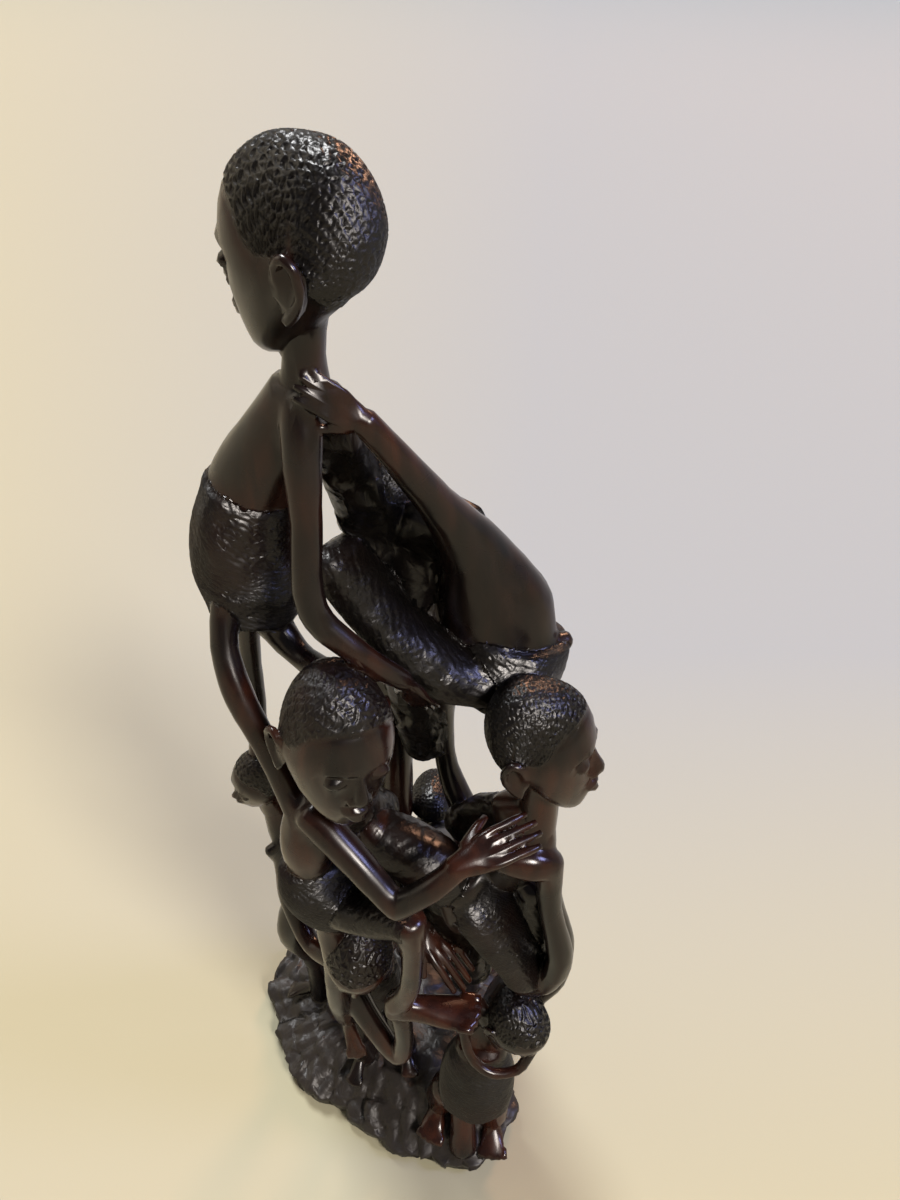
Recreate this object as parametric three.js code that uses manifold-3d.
import * as THREE from 'three';
import Module from 'manifold-3d';
import { mergeVertices } from 'three/addons/utils/BufferGeometryUtils.js';

// A family-tree carving of climbing figures, cut in one piece from a log of African blackwood.
// Millimetres, Z up. The viewer stands in front, at -Y, and +X is the viewer's right.

const wasm = await Module();
wasm.setup();

// Overall sizes
const carvingHeight = 595;
const baseWidth = 180;
const baseDepth = 178;
const baseEdge = 12;
const baseRise = 50;

// Tool marks and cloth
const chiselDepth = 2.4;
const foldHeight = 1.2;
const hairLift = 1.1;
const rimThickness = 3;

// The joints below are given for a carving of this height on a mound of this rise.
const posedHeight = 595;
const posedRise = 50;
const figureScale = (carvingHeight - baseRise) / (posedHeight - posedRise);

function at(x, y, z) {
  const place = new THREE.Vector3(x, y, z - posedRise).multiplyScalar(figureScale);
  return place.setZ(place.z + baseRise);
}

function joint(x, y, z, wide, deep = wide) {
  return { place: at(x, y, z), wide: wide * figureScale, deep: deep * figureScale };
}

function direction(x, y, z) {
  return new THREE.Vector3(x, y, z).normalize();
}

// A steady scatter between -1 and 1, the same on every run.
function scatter(a, b) {
  const value = Math.sin(a * 12.9898 + b * 78.233) * 43758.5453;
  return 2 * (value - Math.floor(value)) - 1;
}

// A geometry left with its positions only, and with one vertex where several meet.
function sewn(geometry) {
  geometry.deleteAttribute('normal');
  geometry.deleteAttribute('uv');
  return mergeVertices(geometry, 1e-5);
}

function toSolid(geometry) {
  const order = geometry.index.array;
  const triangles = [];
  for (let i = 0; i < order.length; i += 3) {
    const [a, b, c] = [order[i], order[i + 1], order[i + 2]];
    if (a !== b && b !== c && c !== a) triangles.push(a, b, c);
  }
  return new wasm.Manifold(new wasm.Mesh({
    numProp: 3,
    vertProperties: new Float32Array(geometry.attributes.position.array),
    triVerts: new Uint32Array(triangles),
  }));
}

function joined(solids) {
  return solids.reduce((whole, solid) => whole.add(solid));
}

// The direction square to the bend of a limb, in which its width can lie.
function bendNormal(places) {
  const first = places[1].clone().sub(places[0]).normalize();
  const last = places[places.length - 1].clone().sub(places[0]).normalize();
  const normal = first.clone().cross(last);
  if (normal.length() > 0.15) return normal.normalize();
  const upright = Math.abs(last.z) > 0.8 ? new THREE.Vector3(0, 1, 0) : new THREE.Vector3(0, 0, 1);
  return last.clone().cross(upright).normalize();
}

// A form turned on a lathe and bent along the smooth curve through its joints. Each joint has
// a half width, which lies along "across", and a half depth. Caps are shares of a hemisphere.
function swept(joints, { sides = 6, rows = 1, across, caps = [0.6, 0.6], open, swell } = {}) {
  const places = joints.map((each) => each.place);
  const curve = new THREE.CatmullRomCurve3(places, false, 'centripetal');
  const sizes = new THREE.SplineCurve(joints.map((each) => new THREE.Vector2(each.wide, each.deep)));
  const bodyRows = rows * (joints.length - 1);
  const steps = open ? [
    { along: 0.22, ahead: 0, size: 0 },
    { along: 0.16, ahead: 0, size: 0.7 },
    { along: 0, ahead: 0, size: 1 - 1.3 * rimThickness / joints[0].wide },
    { along: 0, ahead: -rimThickness / joints[0].deep, size: 1 - 0.7 * rimThickness / joints[0].wide },
  ] : [{ along: 0, ahead: -caps[0], size: 0 }];
  if (caps[0] > 0.8) steps.push({ along: 0, ahead: -0.72 * caps[0], size: 0.7 });
  for (let k = 0; k <= bodyRows; k += 1) steps.push({ along: k / bodyRows, ahead: 0, size: 1 });
  if (caps[1] > 0.8) steps.push({ along: 1, ahead: 0.72 * caps[1], size: 0.7 });
  steps.push({ along: 1, ahead: caps[1], size: 0 });

  const outline = steps.map((step, k) => new THREE.Vector2(step.size, k));
  const geometry = sewn(new THREE.LatheGeometry(outline, sides));
  const reference = across ?? bendNormal(places);
  const position = geometry.attributes.position;
  const spot = new THREE.Vector3();
  for (let i = 0; i < position.count; i += 1) {
    const row = Math.round(position.getY(i));
    const step = steps[row];
    const tangent = curve.getTangent(step.along);
    const side = reference.clone().addScaledVector(tangent, -reference.dot(tangent)).normalize();
    const front = side.clone().cross(tangent);
    const size = sizes.getPoint(step.along);
    const angle = Math.atan2(position.getZ(i), position.getX(i));
    const more = swell && step.size > 0 ? swell(step.along, angle, row) * figureScale : 0;
    spot.copy(curve.getPoint(step.along));
    spot.addScaledVector(tangent, step.ahead * Math.min(size.x, size.y));
    spot.addScaledVector(side, (size.x + more) * position.getX(i));
    spot.addScaledVector(front, (size.y + more) * position.getZ(i));
    position.setXYZ(i, spot.x, spot.y, spot.z);
  }
  return toSolid(geometry);
}

// A head: one closed form whose rows run from ear to ear. Its profile in the middle has brow, nose,
// lips and chin on calm, even proportions; towards the sides it is a plain skull that narrows to
// the jaw. Angles are in degrees above the line of sight, lengths are shares of the head's height.
const profile = [
  { angle: 72, reach: 0.49, proud: 0, hair: 1 },
  { angle: 42, reach: 0.465, proud: 0, hair: 0.5 },
  { angle: 16, reach: 0.41, proud: 0.015, hair: 0 },
  { angle: 5, reach: 0.37, proud: -0.01, hair: 0 },
  { angle: -13, reach: 0.37, proud: 0.09, hair: 0 },
  { angle: -20, reach: 0.375, proud: 0.01, hair: 0 },
  { angle: -28, reach: 0.39, proud: 0.05, hair: 0 },
  { angle: -33, reach: 0.41, proud: 0.02, hair: 0 },
  { angle: -40, reach: 0.44, proud: 0.045, hair: 0 },
  { angle: -52, reach: 0.52, proud: 0, hair: 0 },
  { angle: -68, reach: 0.48, proud: 0, hair: 0 },
  { angle: -110, reach: 0.27, proud: 0, hair: 0 },
  { angle: -150, reach: 0.25, proud: 0, hair: 1 },
  { angle: -185, reach: 0.36, proud: 0, hair: 1 },
  { angle: -220, reach: 0.46, proud: 0, hair: 1 },
  { angle: -257, reach: 0.5, proud: 0, hair: 1 },
];
const skullWidth = 0.345;

function head({ centre, height, forward, up, rows = 6, ears = true, broad = 1 }) {
  const tall = height * figureScale;
  const left = up.clone().cross(forward).normalize();
  const ahead = left.clone().cross(up).normalize();
  const above = up.clone().normalize();
  const place = (toLeft, toAbove, toAhead) => centre.clone()
    .addScaledVector(left, toLeft * tall * broad)
    .addScaledVector(above, toAbove * tall)
    .addScaledVector(ahead, toAhead * tall * broad);
  const part = (toLeft, toAbove, toAhead, wide, deep = wide) => ({
    place: place(toLeft, toAbove, toAhead),
    wide: wide * tall,
    deep: deep * tall,
  });

  const skull = sewn(new THREE.SphereGeometry(1, profile.length, rows));
  const position = skull.attributes.position;
  for (let i = 0; i < position.count; i += 1) {
    const toSide = THREE.MathUtils.clamp(-position.getY(i), -1, 1);
    const row = Math.round(Math.acos(toSide) / Math.PI * rows);
    const ring = Math.sin(row / rows * Math.PI);
    const turn = Math.atan2(position.getZ(i), position.getX(i)) / (2 * Math.PI);
    const step = Math.round(turn * profile.length + profile.length) % profile.length;
    const column = ring > 0.01 ? step : 0;
    const { angle, reach, proud, hair } = profile[column];
    const middle = Math.max(0, 1 - 2.6 * Math.abs(toSide));
    const lift = hair * hairLift * figureScale / tall * (1 + 0.5 * ((row + column) % 2));
    const sunk = column === 3 && Math.abs(toSide) > 0.2 ? -0.03 : 0;
    const tilt = THREE.MathUtils.degToRad(angle);
    const away = ring * (reach + proud * middle + lift + sunk);
    const narrow = 1 - 0.3 * Math.max(0, -Math.sin(tilt)) * ring;
    const outward = (skullWidth + lift) * toSide * narrow;
    const spot = place(outward, Math.sin(tilt) * away, Math.cos(tilt) * away);
    position.setXYZ(i, spot.x, spot.y, spot.z);
  }
  const solids = [toSolid(skull)];
  for (const side of ears ? [-1, 1] : []) {
    solids.push(swept([
      part(0.34 * side, 0.1, -0.1, 0.055, 0.04),
      part(0.385 * side, 0.03, -0.13, 0.085, 0.045),
      part(0.34 * side, -0.11, -0.07, 0.045, 0.035),
    ], { sides: 4, rows: 1, across: ahead }));
  }
  return joined(solids);
}

// A hand: a flat palm with four long fingers side by side and a thumb.
function hand({ wrist, toward, palm, length, thumb = 1, sides = 4 }) {
  const long = length * figureScale;
  const across = palm.clone().cross(toward).normalize();
  const inward = toward.clone().cross(across).normalize();
  const spot = (out, aside, under, wide, deep = wide) => ({
    place: wrist.clone()
      .addScaledVector(toward, out * long)
      .addScaledVector(across, aside * long)
      .addScaledVector(inward, -under * long),
    wide: wide * long,
    deep: deep * long,
  });
  const solids = [swept([
    spot(-0.1, 0, 0, 0.13, 0.1),
    spot(0.2, 0, 0.01, 0.2, 0.1),
    spot(0.48, 0, 0.01, 0.24, 0.08),
  ], { across })];
  for (const [finger, reach] of [[-1.5, 0.9], [-0.5, 1], [0.5, 1], [1.5, 0.88]]) {
    solids.push(swept([
      spot(0.42, 0.12 * finger, 0.02, 0.054),
      spot(0.42 + 0.56 * reach, 0.128 * finger, -0.03, 0.045),
    ], { sides, across, caps: [0, 0.6] }));
  }
  solids.push(swept([
    spot(0.12, 0.16 * thumb, -0.02, 0.07),
    spot(0.5, 0.36 * thumb, -0.08, 0.05),
  ], { sides }));
  return joined(solids);
}

// A bare foot with five toes.
function foot({ heel, toward, length, broad = 1, sides = 4 }) {
  const long = length * figureScale;
  const above = new THREE.Vector3(0, 0, 1);
  const across = above.clone().cross(toward).normalize();
  const spot = (out, aside, rise, wide, deep = wide) => ({
    place: heel.clone()
      .addScaledVector(toward, out * long)
      .addScaledVector(across, aside * long * broad)
      .addScaledVector(above, rise * long),
    wide: wide * long * broad,
    deep: deep * long,
  });
  const solids = [swept([
    spot(0.02, 0, 0.06, 0.13, 0.15),
    spot(0.3, 0, 0.08, 0.15, 0.14),
    spot(0.72, 0, 0.02, 0.19, 0.09),
  ], { across })];
  for (let toe = -2; toe <= 2; toe += 1) {
    solids.push(swept([
      spot(0.7, 0.08 * toe, 0.02, 0.038),
      spot(0.98 - 0.03 * Math.abs(toe), 0.082 * toe, -0.01, 0.045),
    ], { sides, across }));
  }
  return joined(solids);
}

// Folds: every other row of a cloth form stands out.
function folded(along, angle, row) {
  return foldHeight * (row % 2);
}

// A cloth wrap: a full form with ridged folds and, at an open waist, a rolled rim round a hollow.
function wrap({ joints, across, open = false, sides = 11 }) {
  return swept(joints, { sides, rows: 2, across, open, caps: [0.3, 0.35], swell: folded });
}

// The mound under the figures: an uneven outline, a chopped edge and a rough, domed top.
const edgeReach = [
  0.88, 0.92, 0.98, 0.98, 0.96, 0.96, 0.99, 1.1, 1.06,
  0.9, 0.84, 0.81, 0.72, 0.83, 0.98, 1.19, 1.12, 0.88,
];

function outlineReach(angle) {
  const turns = ((angle / (2 * Math.PI)) % 1 + 1) % 1 * edgeReach.length;
  const step = Math.floor(turns);
  const blend = THREE.MathUtils.smoothstep(turns - step, 0, 1);
  const next = (step + 1) % edgeReach.length;
  return edgeReach[step] * (1 - blend) + edgeReach[next] * blend;
}

function moundHeight(share) {
  return baseEdge + (baseRise - baseEdge) * (1 - Math.min(1, share) ** 1.7);
}

function outlineSpans() {
  const box = new THREE.Box2();
  for (let i = 0; i < 360; i += 1) {
    const angle = THREE.MathUtils.degToRad(i);
    const reach = outlineReach(angle);
    box.expandByPoint(new THREE.Vector2(Math.cos(angle) * reach, Math.sin(angle) * reach));
  }
  return box.getSize(new THREE.Vector2());
}

const spans = outlineSpans();
const outlineWide = baseWidth / spans.x;
const outlineDeep = baseDepth / spans.y;

function ground(x, y) {
  const angle = Math.atan2(y / outlineDeep, x / outlineWide);
  return moundHeight(Math.hypot(x / outlineWide, y / outlineDeep) / outlineReach(angle));
}

function mound() {
  const edges = 28;
  const rings = [
    { share: 0, level: 0 },
    { share: 0.96, level: 0 },
    { share: 1, level: baseEdge * 0.5 },
  ];
  for (const share of [0.97, 0.84, 0.68, 0.45, 0]) {
    rings.push({ share, level: moundHeight(share) });
  }
  const outline = rings.map((ring, k) => new THREE.Vector2(ring.share, k));
  const geometry = sewn(new THREE.LatheGeometry(outline, edges));
  const position = geometry.attributes.position;
  for (let i = 0; i < position.count; i += 1) {
    const row = Math.round(position.getY(i));
    const { share, level } = rings[row];
    const angle = Math.atan2(position.getX(i), position.getZ(i));
    const column = Math.round(angle / (2 * Math.PI) * edges + edges) % edges;
    const cut = row > 1 && share > 0 ? chiselDepth * scatter(column, row) : 0;
    const reach = outlineReach(angle) * share;
    const inward = 1 + (row > 1 ? 0.012 * scatter(row, column) : 0);
    position.setXYZ(i,
      Math.cos(angle) * reach * outlineWide * inward,
      Math.sin(angle) * reach * outlineDeep * inward,
      level + (row > 2 ? cut : 0));
  }
  return toSolid(geometry);
}

const solids = [];

// The top figure crouches at the upper left, bent to the right, its head turned back to the left.
solids.push(wrap({
  joints: [
    joint(-38, 1, 464, 20, 20), joint(-44, 2, 441, 23, 22), joint(-45, 4, 420, 24.5, 22.5),
    joint(-46, 2, 401, 20, 18),
  ],
  across: direction(1, 0, 0),
  open: true,
}));
solids.push(swept([
  joint(-42, 2, 448, 19.5, 18), joint(-37, -1, 467, 17.8, 16.5), joint(-25, -7, 489, 14.8, 13),
  joint(-14, -11, 509, 11.5, 10.5),
], { sides: 8, rows: 2, across: direction(0.8, -0.6, 0) }));
solids.push(swept([
  joint(-8, -14, 546, 9), joint(-10, -13, 527, 7.4), joint(-11, -12, 514, 9), joint(-13, -11, 504, 12),
], { sides: 8, rows: 1 }));
solids.push(head({
  centre: at(-6, -16, 557.6), height: 75, broad: 0.89,
  forward: direction(-0.93, 0.36, -0.04), up: direction(0.02, 0, 1), rows: 9,
}));
solids.push(swept([
  joint(-12, -17, 510, 7.5), joint(-12.5, -26, 493, 7.2), joint(-13, -31, 468, 6),
  joint(-13, -38, 432, 6.2), joint(4, -42, 413, 5.4), joint(20, -38, 395, 4.8),
], { sides: 7, rows: 2 }));
solids.push(hand({
  wrist: at(20, -38, 395), toward: direction(0.4, 0.2, -0.9),
  palm: direction(0.2, 0.95, 0.2), length: 26,
}));
solids.push(swept([
  joint(-7, 0, 502, 8), joint(-4, 8, 484, 11), joint(-1, 14, 462, 12.5), joint(6, 17, 440, 14.5),
  joint(8, 11, 424, 10),
], { sides: 6 }));

// Its legs reach down to the heads of the two figures below.
solids.push(swept([
  joint(-43, 0, 402, 9), joint(-27, -14, 388, 6), joint(-8, -34, 392, 6),
], { sides: 5 }));
solids.push(swept([
  joint(-52, 12, 404, 8), joint(-56, 15, 368, 5.5), joint(-58, 15, 330, 5),
  joint(-62, 13, 282, 5.5),
], { sides: 5 }));

// The figure at the upper right leans over with one hand on the top figure's back.
solids.push(swept([
  joint(9, -19, 503, 5.2), joint(22, -14, 482, 6.4), joint(36, -6, 457, 8.5),
  joint(49, 1, 431, 15, 14), joint(58, 1, 404, 25, 18), joint(66, -2, 382, 22, 18),
], { sides: 8, rows: 2, across: direction(0.8, 0, 0.6) }));
solids.push(hand({
  wrist: at(9, -19, 502), toward: direction(-0.74, -0.16, 0.65),
  palm: direction(-0.3, 0.85, -0.4), length: 28, thumb: -1,
}));
solids.push(wrap({
  joints: [joint(68, -3, 389, 25, 21), joint(65, -5, 374, 25, 22), joint(56, -8, 358, 20, 17)],
  across: direction(1, 0, 0.05),
  open: true,
}));
solids.push(swept([joint(84, -6, 385, 5), joint(91, -3, 386, 4)]));
solids.push(swept([
  joint(62, -6, 372, 20, 18), joint(40, -12, 377, 17, 16), joint(18, -8, 393, 15, 14),
  joint(-8, 5, 425, 15, 15),
], { sides: 9, rows: 3, across: direction(0, 1, 0), swell: folded }));
solids.push(head({
  centre: at(10, 23, 446), height: 48,
  forward: direction(-0.55, 0.3, -0.75), up: direction(-0.6, 0.1, 0.7), ears: false,
}));
solids.push(swept([
  joint(46, 8, 434, 13), joint(28, 18, 432, 15), joint(24, 10, 408, 14), joint(18, 2, 394, 12),
], { sides: 8 }));

// A loop of the wood stands open between its lap and its arm.
solids.push(swept([
  joint(8, -4, 396, 4), joint(12, 0, 409, 3.2), joint(20, 3, 416, 3), joint(28, 2, 408, 3.2),
  joint(31, -4, 394, 4),
]));
solids.push(swept([joint(10, 6, 398, 7), joint(16, 8, 410, 5)]));

// Its legs come down inside the group.
solids.push(swept([
  joint(-2, 10, 412, 11), joint(6, 12, 370, 8), joint(11, 9, 322, 8), joint(10, 6, 262, 9),
  joint(6, -2, 206, 8), joint(-2, -10, 140, 9),
]));
solids.push(swept([
  joint(33, -4, 368, 11), joint(36, -3, 335, 5.2), joint(37, -4, 305, 5.6), joint(44, -12, 284, 7),
  joint(56, -26, 264, 8),
]));

solids.push(swept([
  joint(20, 0, 384, 14), joint(24, 0, 346, 14), joint(27, -2, 316, 11),
], { sides: 7 }));

// The front figure, in the middle, looks down at the viewer with one arm raised and one out.
solids.push(head({
  centre: at(-7, -55, 377), height: 74, broad: 0.89,
  forward: direction(0.42, -0.88, -0.2), up: direction(0.1, 0.1, 1), rows: 9,
}));
solids.push(swept([joint(-10, -48, 358, 10), joint(-16, -50, 334, 11)], { sides: 9 }));
solids.push(swept([
  joint(-19, -54, 334, 14, 10), joint(-25, -57, 312, 13, 11), joint(-26, -56, 292, 10.5, 9.5),
  joint(-24, -55, 274, 9, 8),
], { sides: 9, across: direction(1, -0.2, 0) }));
solids.push(swept([
  joint(-14, -46, 322, 10), joint(-2, -36, 306, 12), joint(4, -16, 282, 10),
], { sides: 6 }));
solids.push(swept([
  joint(0, -44, 304, 12), joint(18, -46, 290, 15), joint(34, -46, 272, 15), joint(38, -42, 244, 12),
], { sides: 7 }));
solids.push(swept([
  joint(-25, -57, 328, 7.5), joint(-32, -50, 341, 6), joint(-41, -41, 361, 5.8),
  joint(-51, -31, 381, 6.6), joint(-56, -20, 398, 6),
  joint(-55, -10, 412, 6.5),
]));
solids.push(swept([
  joint(-21, -60, 336, 8), joint(-3, -73, 323, 7.4), joint(16, -86, 305, 6),
]));
solids.push(swept([joint(15, -85.5, 304, 6.2), joint(31, -85, 318, 6), joint(43, -81, 328, 5.4)]));
solids.push(hand({
  wrist: at(43, -81, 329), toward: direction(0.9, 0.4, 0.15),
  palm: direction(0.1, 0.5, -0.86), length: 38, thumb: -1,
}));
solids.push(wrap({
  joints: [
    joint(-26, -54, 292, 16, 14), joint(-24, -55, 276, 19, 17), joint(-18, -54, 259, 18, 16),
    joint(-14, -52, 248, 13, 12),
  ],
  across: direction(1, -0.1, 0),
  open: true,
}));
solids.push(swept([
  joint(-14, -56, 266, 16, 14), joint(3, -66, 270, 13), joint(18, -76, 277, 10),
], { sides: 10 }));
solids.push(swept([
  joint(20, -77, 278, 8.5), joint(21, -77, 250, 6), joint(18, -76, 212, 5.6),
  joint(11, -72, 190, 7),
]));
solids.push(foot({ heel: at(7, -71, 181), toward: direction(0.98, -0.1, 0.09), length: 50 }));
solids.push(swept([
  joint(-20, -55, 252, 9), joint(-21, -60, 214, 6), joint(-23, -58, 166, 6),
  joint(-22, -46, 128, 8),
]));

// The figure at the right looks away to the right, elbow out and knee forward.
solids.push(head({
  centre: at(78, -42, 359), height: 73, broad: 0.82,
  forward: direction(0.95, -0.3, -0.12), up: direction(-0.1, 0.1, 1), rows: 9,
}));
solids.push(swept([
  joint(78, -42, 344, 10), joint(79, -47, 322, 9), joint(76, -46, 304, 12),
], { sides: 9 }));
solids.push(swept([
  joint(70, -42, 320, 13, 9), joint(74, -47, 302, 15, 12), joint(69, -42, 278, 15, 13),
  joint(58, -33, 252, 16, 14),
], { sides: 9, across: direction(0.9, -0.4, 0) }));
solids.push(swept([
  joint(70, -40, 308, 10), joint(58, -31, 298, 10), joint(45, -24, 280, 9),
], { sides: 6 }));
solids.push(swept([
  joint(62, -62, 304, 6, 5), joint(76, -62, 301, 8, 6), joint(85, -59, 297, 7),
], { across: direction(0, 0.5, 0.8) }));
solids.push(swept([
  joint(84, -58, 298, 7.5), joint(87, -63, 266, 5.8), joint(94, -67, 226, 7),
  joint(88, -66, 200, 6), joint(76, -62, 188, 5),
]));
solids.push(swept([
  joint(80, -48, 262, 9), joint(84, -52, 238, 8), joint(86, -56, 214, 6),
], { sides: 5 }));
solids.push(swept([
  joint(82, -40, 288, 7), joint(91, -44, 242, 6), joint(99, -48, 206, 6.5), joint(96, -54, 180, 6),
  joint(84, -58, 166, 6),
], { sides: 5 }));
solids.push(wrap({
  joints: [
    joint(46, -42, 268, 19, 14), joint(58, -43, 250, 24, 17), joint(72, -52, 222, 20, 15),
    joint(79, -60, 198, 13, 12),
  ],
  across: direction(0.6, 0.8, 0.2),
}));
solids.push(swept([
  joint(36, -56, 262, 4, 2.5), joint(41, -58, 250, 6, 3), joint(46, -58, 240, 7, 3),
], { sides: 5, across: direction(0.9, 0, 0.4) }));
solids.push(swept([
  joint(78, -58, 196, 9), joint(76, -40, 160, 7), joint(68, -30, 110, 8), joint(62, -28, 34, 10),
]));

// A hand from behind lies above the front figure's foot.
solids.push(swept([
  joint(6, -4, 244, 6), joint(12, -26, 234, 6), joint(23, -42, 215, 6),
], { sides: 5 }));
solids.push(hand({
  wrist: at(23, -42, 215), toward: direction(0.62, -0.48, -0.62),
  palm: direction(-0.3, 0.2, -0.9), length: 42,
}));
solids.push(swept([
  joint(34, -36, 240, 12), joint(42, -34, 214, 14), joint(50, -34, 180, 14), joint(52, -30, 150, 12),
]));

// The crouching figure under the front one holds its foot.
solids.push(head({
  centre: at(-8, -57, 215), height: 51,
  forward: direction(-0.1, -0.8, -0.6), up: direction(0.05, -0.5, 0.85), ears: false,
}));
solids.push(swept([
  joint(-7, -46, 202, 9), joint(-10, -30, 164, 16, 12), joint(-10, -20, 128, 15, 13),
  joint(-8, -14, 96, 17, 15),
], { sides: 8, across: direction(1, 0, 0) }));
solids.push(swept([
  joint(-19, -46, 164, 8), joint(-6, -58, 138, 7), joint(9, -67, 117, 6), joint(13, -68, 142, 5.5),
  joint(12, -67, 170, 6),
]));
solids.push(swept([
  joint(-18, -26, 100, 11), joint(-20, -36, 84, 9), joint(-19, -32, 60, 8), joint(-18, -30, 36, 9),
]));
solids.push(swept([
  joint(2, -20, 98, 10), joint(6, -30, 80, 8), joint(8, -28, 36, 8),
], { sides: 5 }));

// The small figure at the lower right stands on the mound's corner.
solids.push(head({
  centre: at(75, -68, 161), height: 46,
  forward: direction(0.5, -0.62, -0.6), up: direction(0.35, -0.3, 0.88),
}));
solids.push(swept([
  joint(72, -58, 148, 8), joint(64, -56, 130, 12, 9), joint(58, -60, 108, 15, 12),
], { sides: 8, across: direction(1, 0, 0) }));
solids.push(swept([
  joint(54, -62, 168, 5), joint(62, -66, 150, 5), joint(68, -66, 134, 6),
], { sides: 5 }));
solids.push(swept([
  joint(46, -64, 146, 3), joint(51, -74, 130, 3), joint(63, -79, 121, 3), joint(78, -77, 122, 3),
  joint(86, -70, 132, 3.4),
], { sides: 5 }));
solids.push(swept([
  joint(46, -64, 146, 3.4), joint(50, -62, 159, 4), joint(54, -62, 170, 4.5),
], { sides: 5 }));
solids.push(wrap({
  joints: [
    joint(58, -60, 118, 15, 13), joint(56, -62, 98, 21, 16), joint(55, -64, 74, 23, 18),
    joint(55, -66, 56, 22, 17),
  ],
  across: direction(1, -0.05, 0),
}));
for (const [x, y, aside] of [[34, -57, -0.35], [66, -62, 0]]) {
  const low = ground(x + 12 * aside, y - 12);
  solids.push(swept([joint(0.8 * x + 12, -62, 60, 11), joint(x, y - 2, low + 11, 9)]));
  const toward = direction(aside, -0.95, -0.2);
  solids.push(foot({ heel: at(x, y, low + 5), toward, length: 28, broad: 1.5 }));
}
solids.push(swept([joint(47, -68, 56, 7), joint(47, -80, 16, 9)], { sides: 5 }));

// Two more figures climb the left and the back; what the front hides is plainer.
solids.push(head({
  centre: at(-61, 12, 272), height: 43,
  forward: direction(-0.75, -0.4, -0.5), up: direction(0.1, -0.2, 1), ears: false,
}));
solids.push(swept([
  joint(-58, 14, 250, 9), joint(-52, 16, 226, 16, 12), joint(-46, 18, 190, 15, 12),
  joint(-44, 18, 156, 18, 15),
], { sides: 8, across: direction(0.4, 0.9, 0) }));
solids.push(swept([
  joint(-54, 4, 226, 7), joint(-56, -1, 200, 6), joint(-56, -3, 176, 6), joint(-43, -20, 156, 6),
  joint(-28, -34, 164, 6),
], { sides: 5 }));
solids.push(swept([joint(-60, 2, 214, 4), joint(-62, -1, 224, 3.5)], { sides: 5 }));
solids.push(swept([
  joint(-50, 14, 160, 12), joint(-62, 6, 128, 9), joint(-52, 12, 84, 8), joint(-50, 14, 30, 10),
]));
solids.push(swept([
  joint(-36, 26, 160, 11), joint(-40, 40, 120, 9), joint(-34, 42, 80, 8), joint(-34, 44, 24, 10),
]));

solids.push(head({
  centre: at(30, 16, 246), height: 38,
  forward: direction(0.1, 0.9, -0.4), up: direction(0, -0.1, 1), ears: false,
}));
solids.push(swept([
  joint(31, 18, 232, 9), joint(32, 22, 206, 17, 12), joint(30, 24, 170, 15, 13),
  joint(28, 24, 140, 18, 15),
], { sides: 8, across: direction(1, 0, 0) }));
solids.push(swept([
  joint(46, 20, 210, 7), joint(60, 10, 184, 6), joint(72, -12, 170, 6), joint(78, -34, 168, 6.5),
], { sides: 5 }));
solids.push(swept([
  joint(16, 24, 210, 7), joint(-6, 32, 190, 6), joint(-34, 28, 186, 6.5),
], { sides: 5 }));
solids.push(swept([
  joint(-10, -30, 250, 9), joint(6, -20, 246, 10), joint(22, -12, 244, 9), joint(34, 8, 222, 9),
], { sides: 6 }));
solids.push(swept([
  joint(40, 22, 146, 12), joint(58, 26, 116, 9), joint(52, 22, 74, 8), joint(50, 20, 28, 10),
]));
solids.push(swept([
  joint(18, 28, 146, 12), joint(14, 46, 112, 9), joint(10, 42, 70, 8), joint(10, 42, 28, 10),
]));

solids.push(mound());

const whole = joined(solids);
const result = whole.getMesh();
const geometry = new THREE.BufferGeometry();
const corners = new Float32Array(result.vertProperties);
geometry.setAttribute('position', new THREE.BufferAttribute(corners, 3));
geometry.setIndex(new THREE.BufferAttribute(new Uint32Array(result.triVerts), 1));
geometry.computeBoundingBox();
const middle = geometry.boundingBox.getCenter(new THREE.Vector3());
geometry.translate(-middle.x, -middle.y, 0);
geometry.computeVertexNormals();

const blackwood = new THREE.MeshStandardMaterial({ color: 0x2a1b19, roughness: 0.38, metalness: 0 });
const carving = new THREE.Mesh(geometry, blackwood);
carving.name = 'carving';

const group = new THREE.Group();
group.add(carving);
export default group;
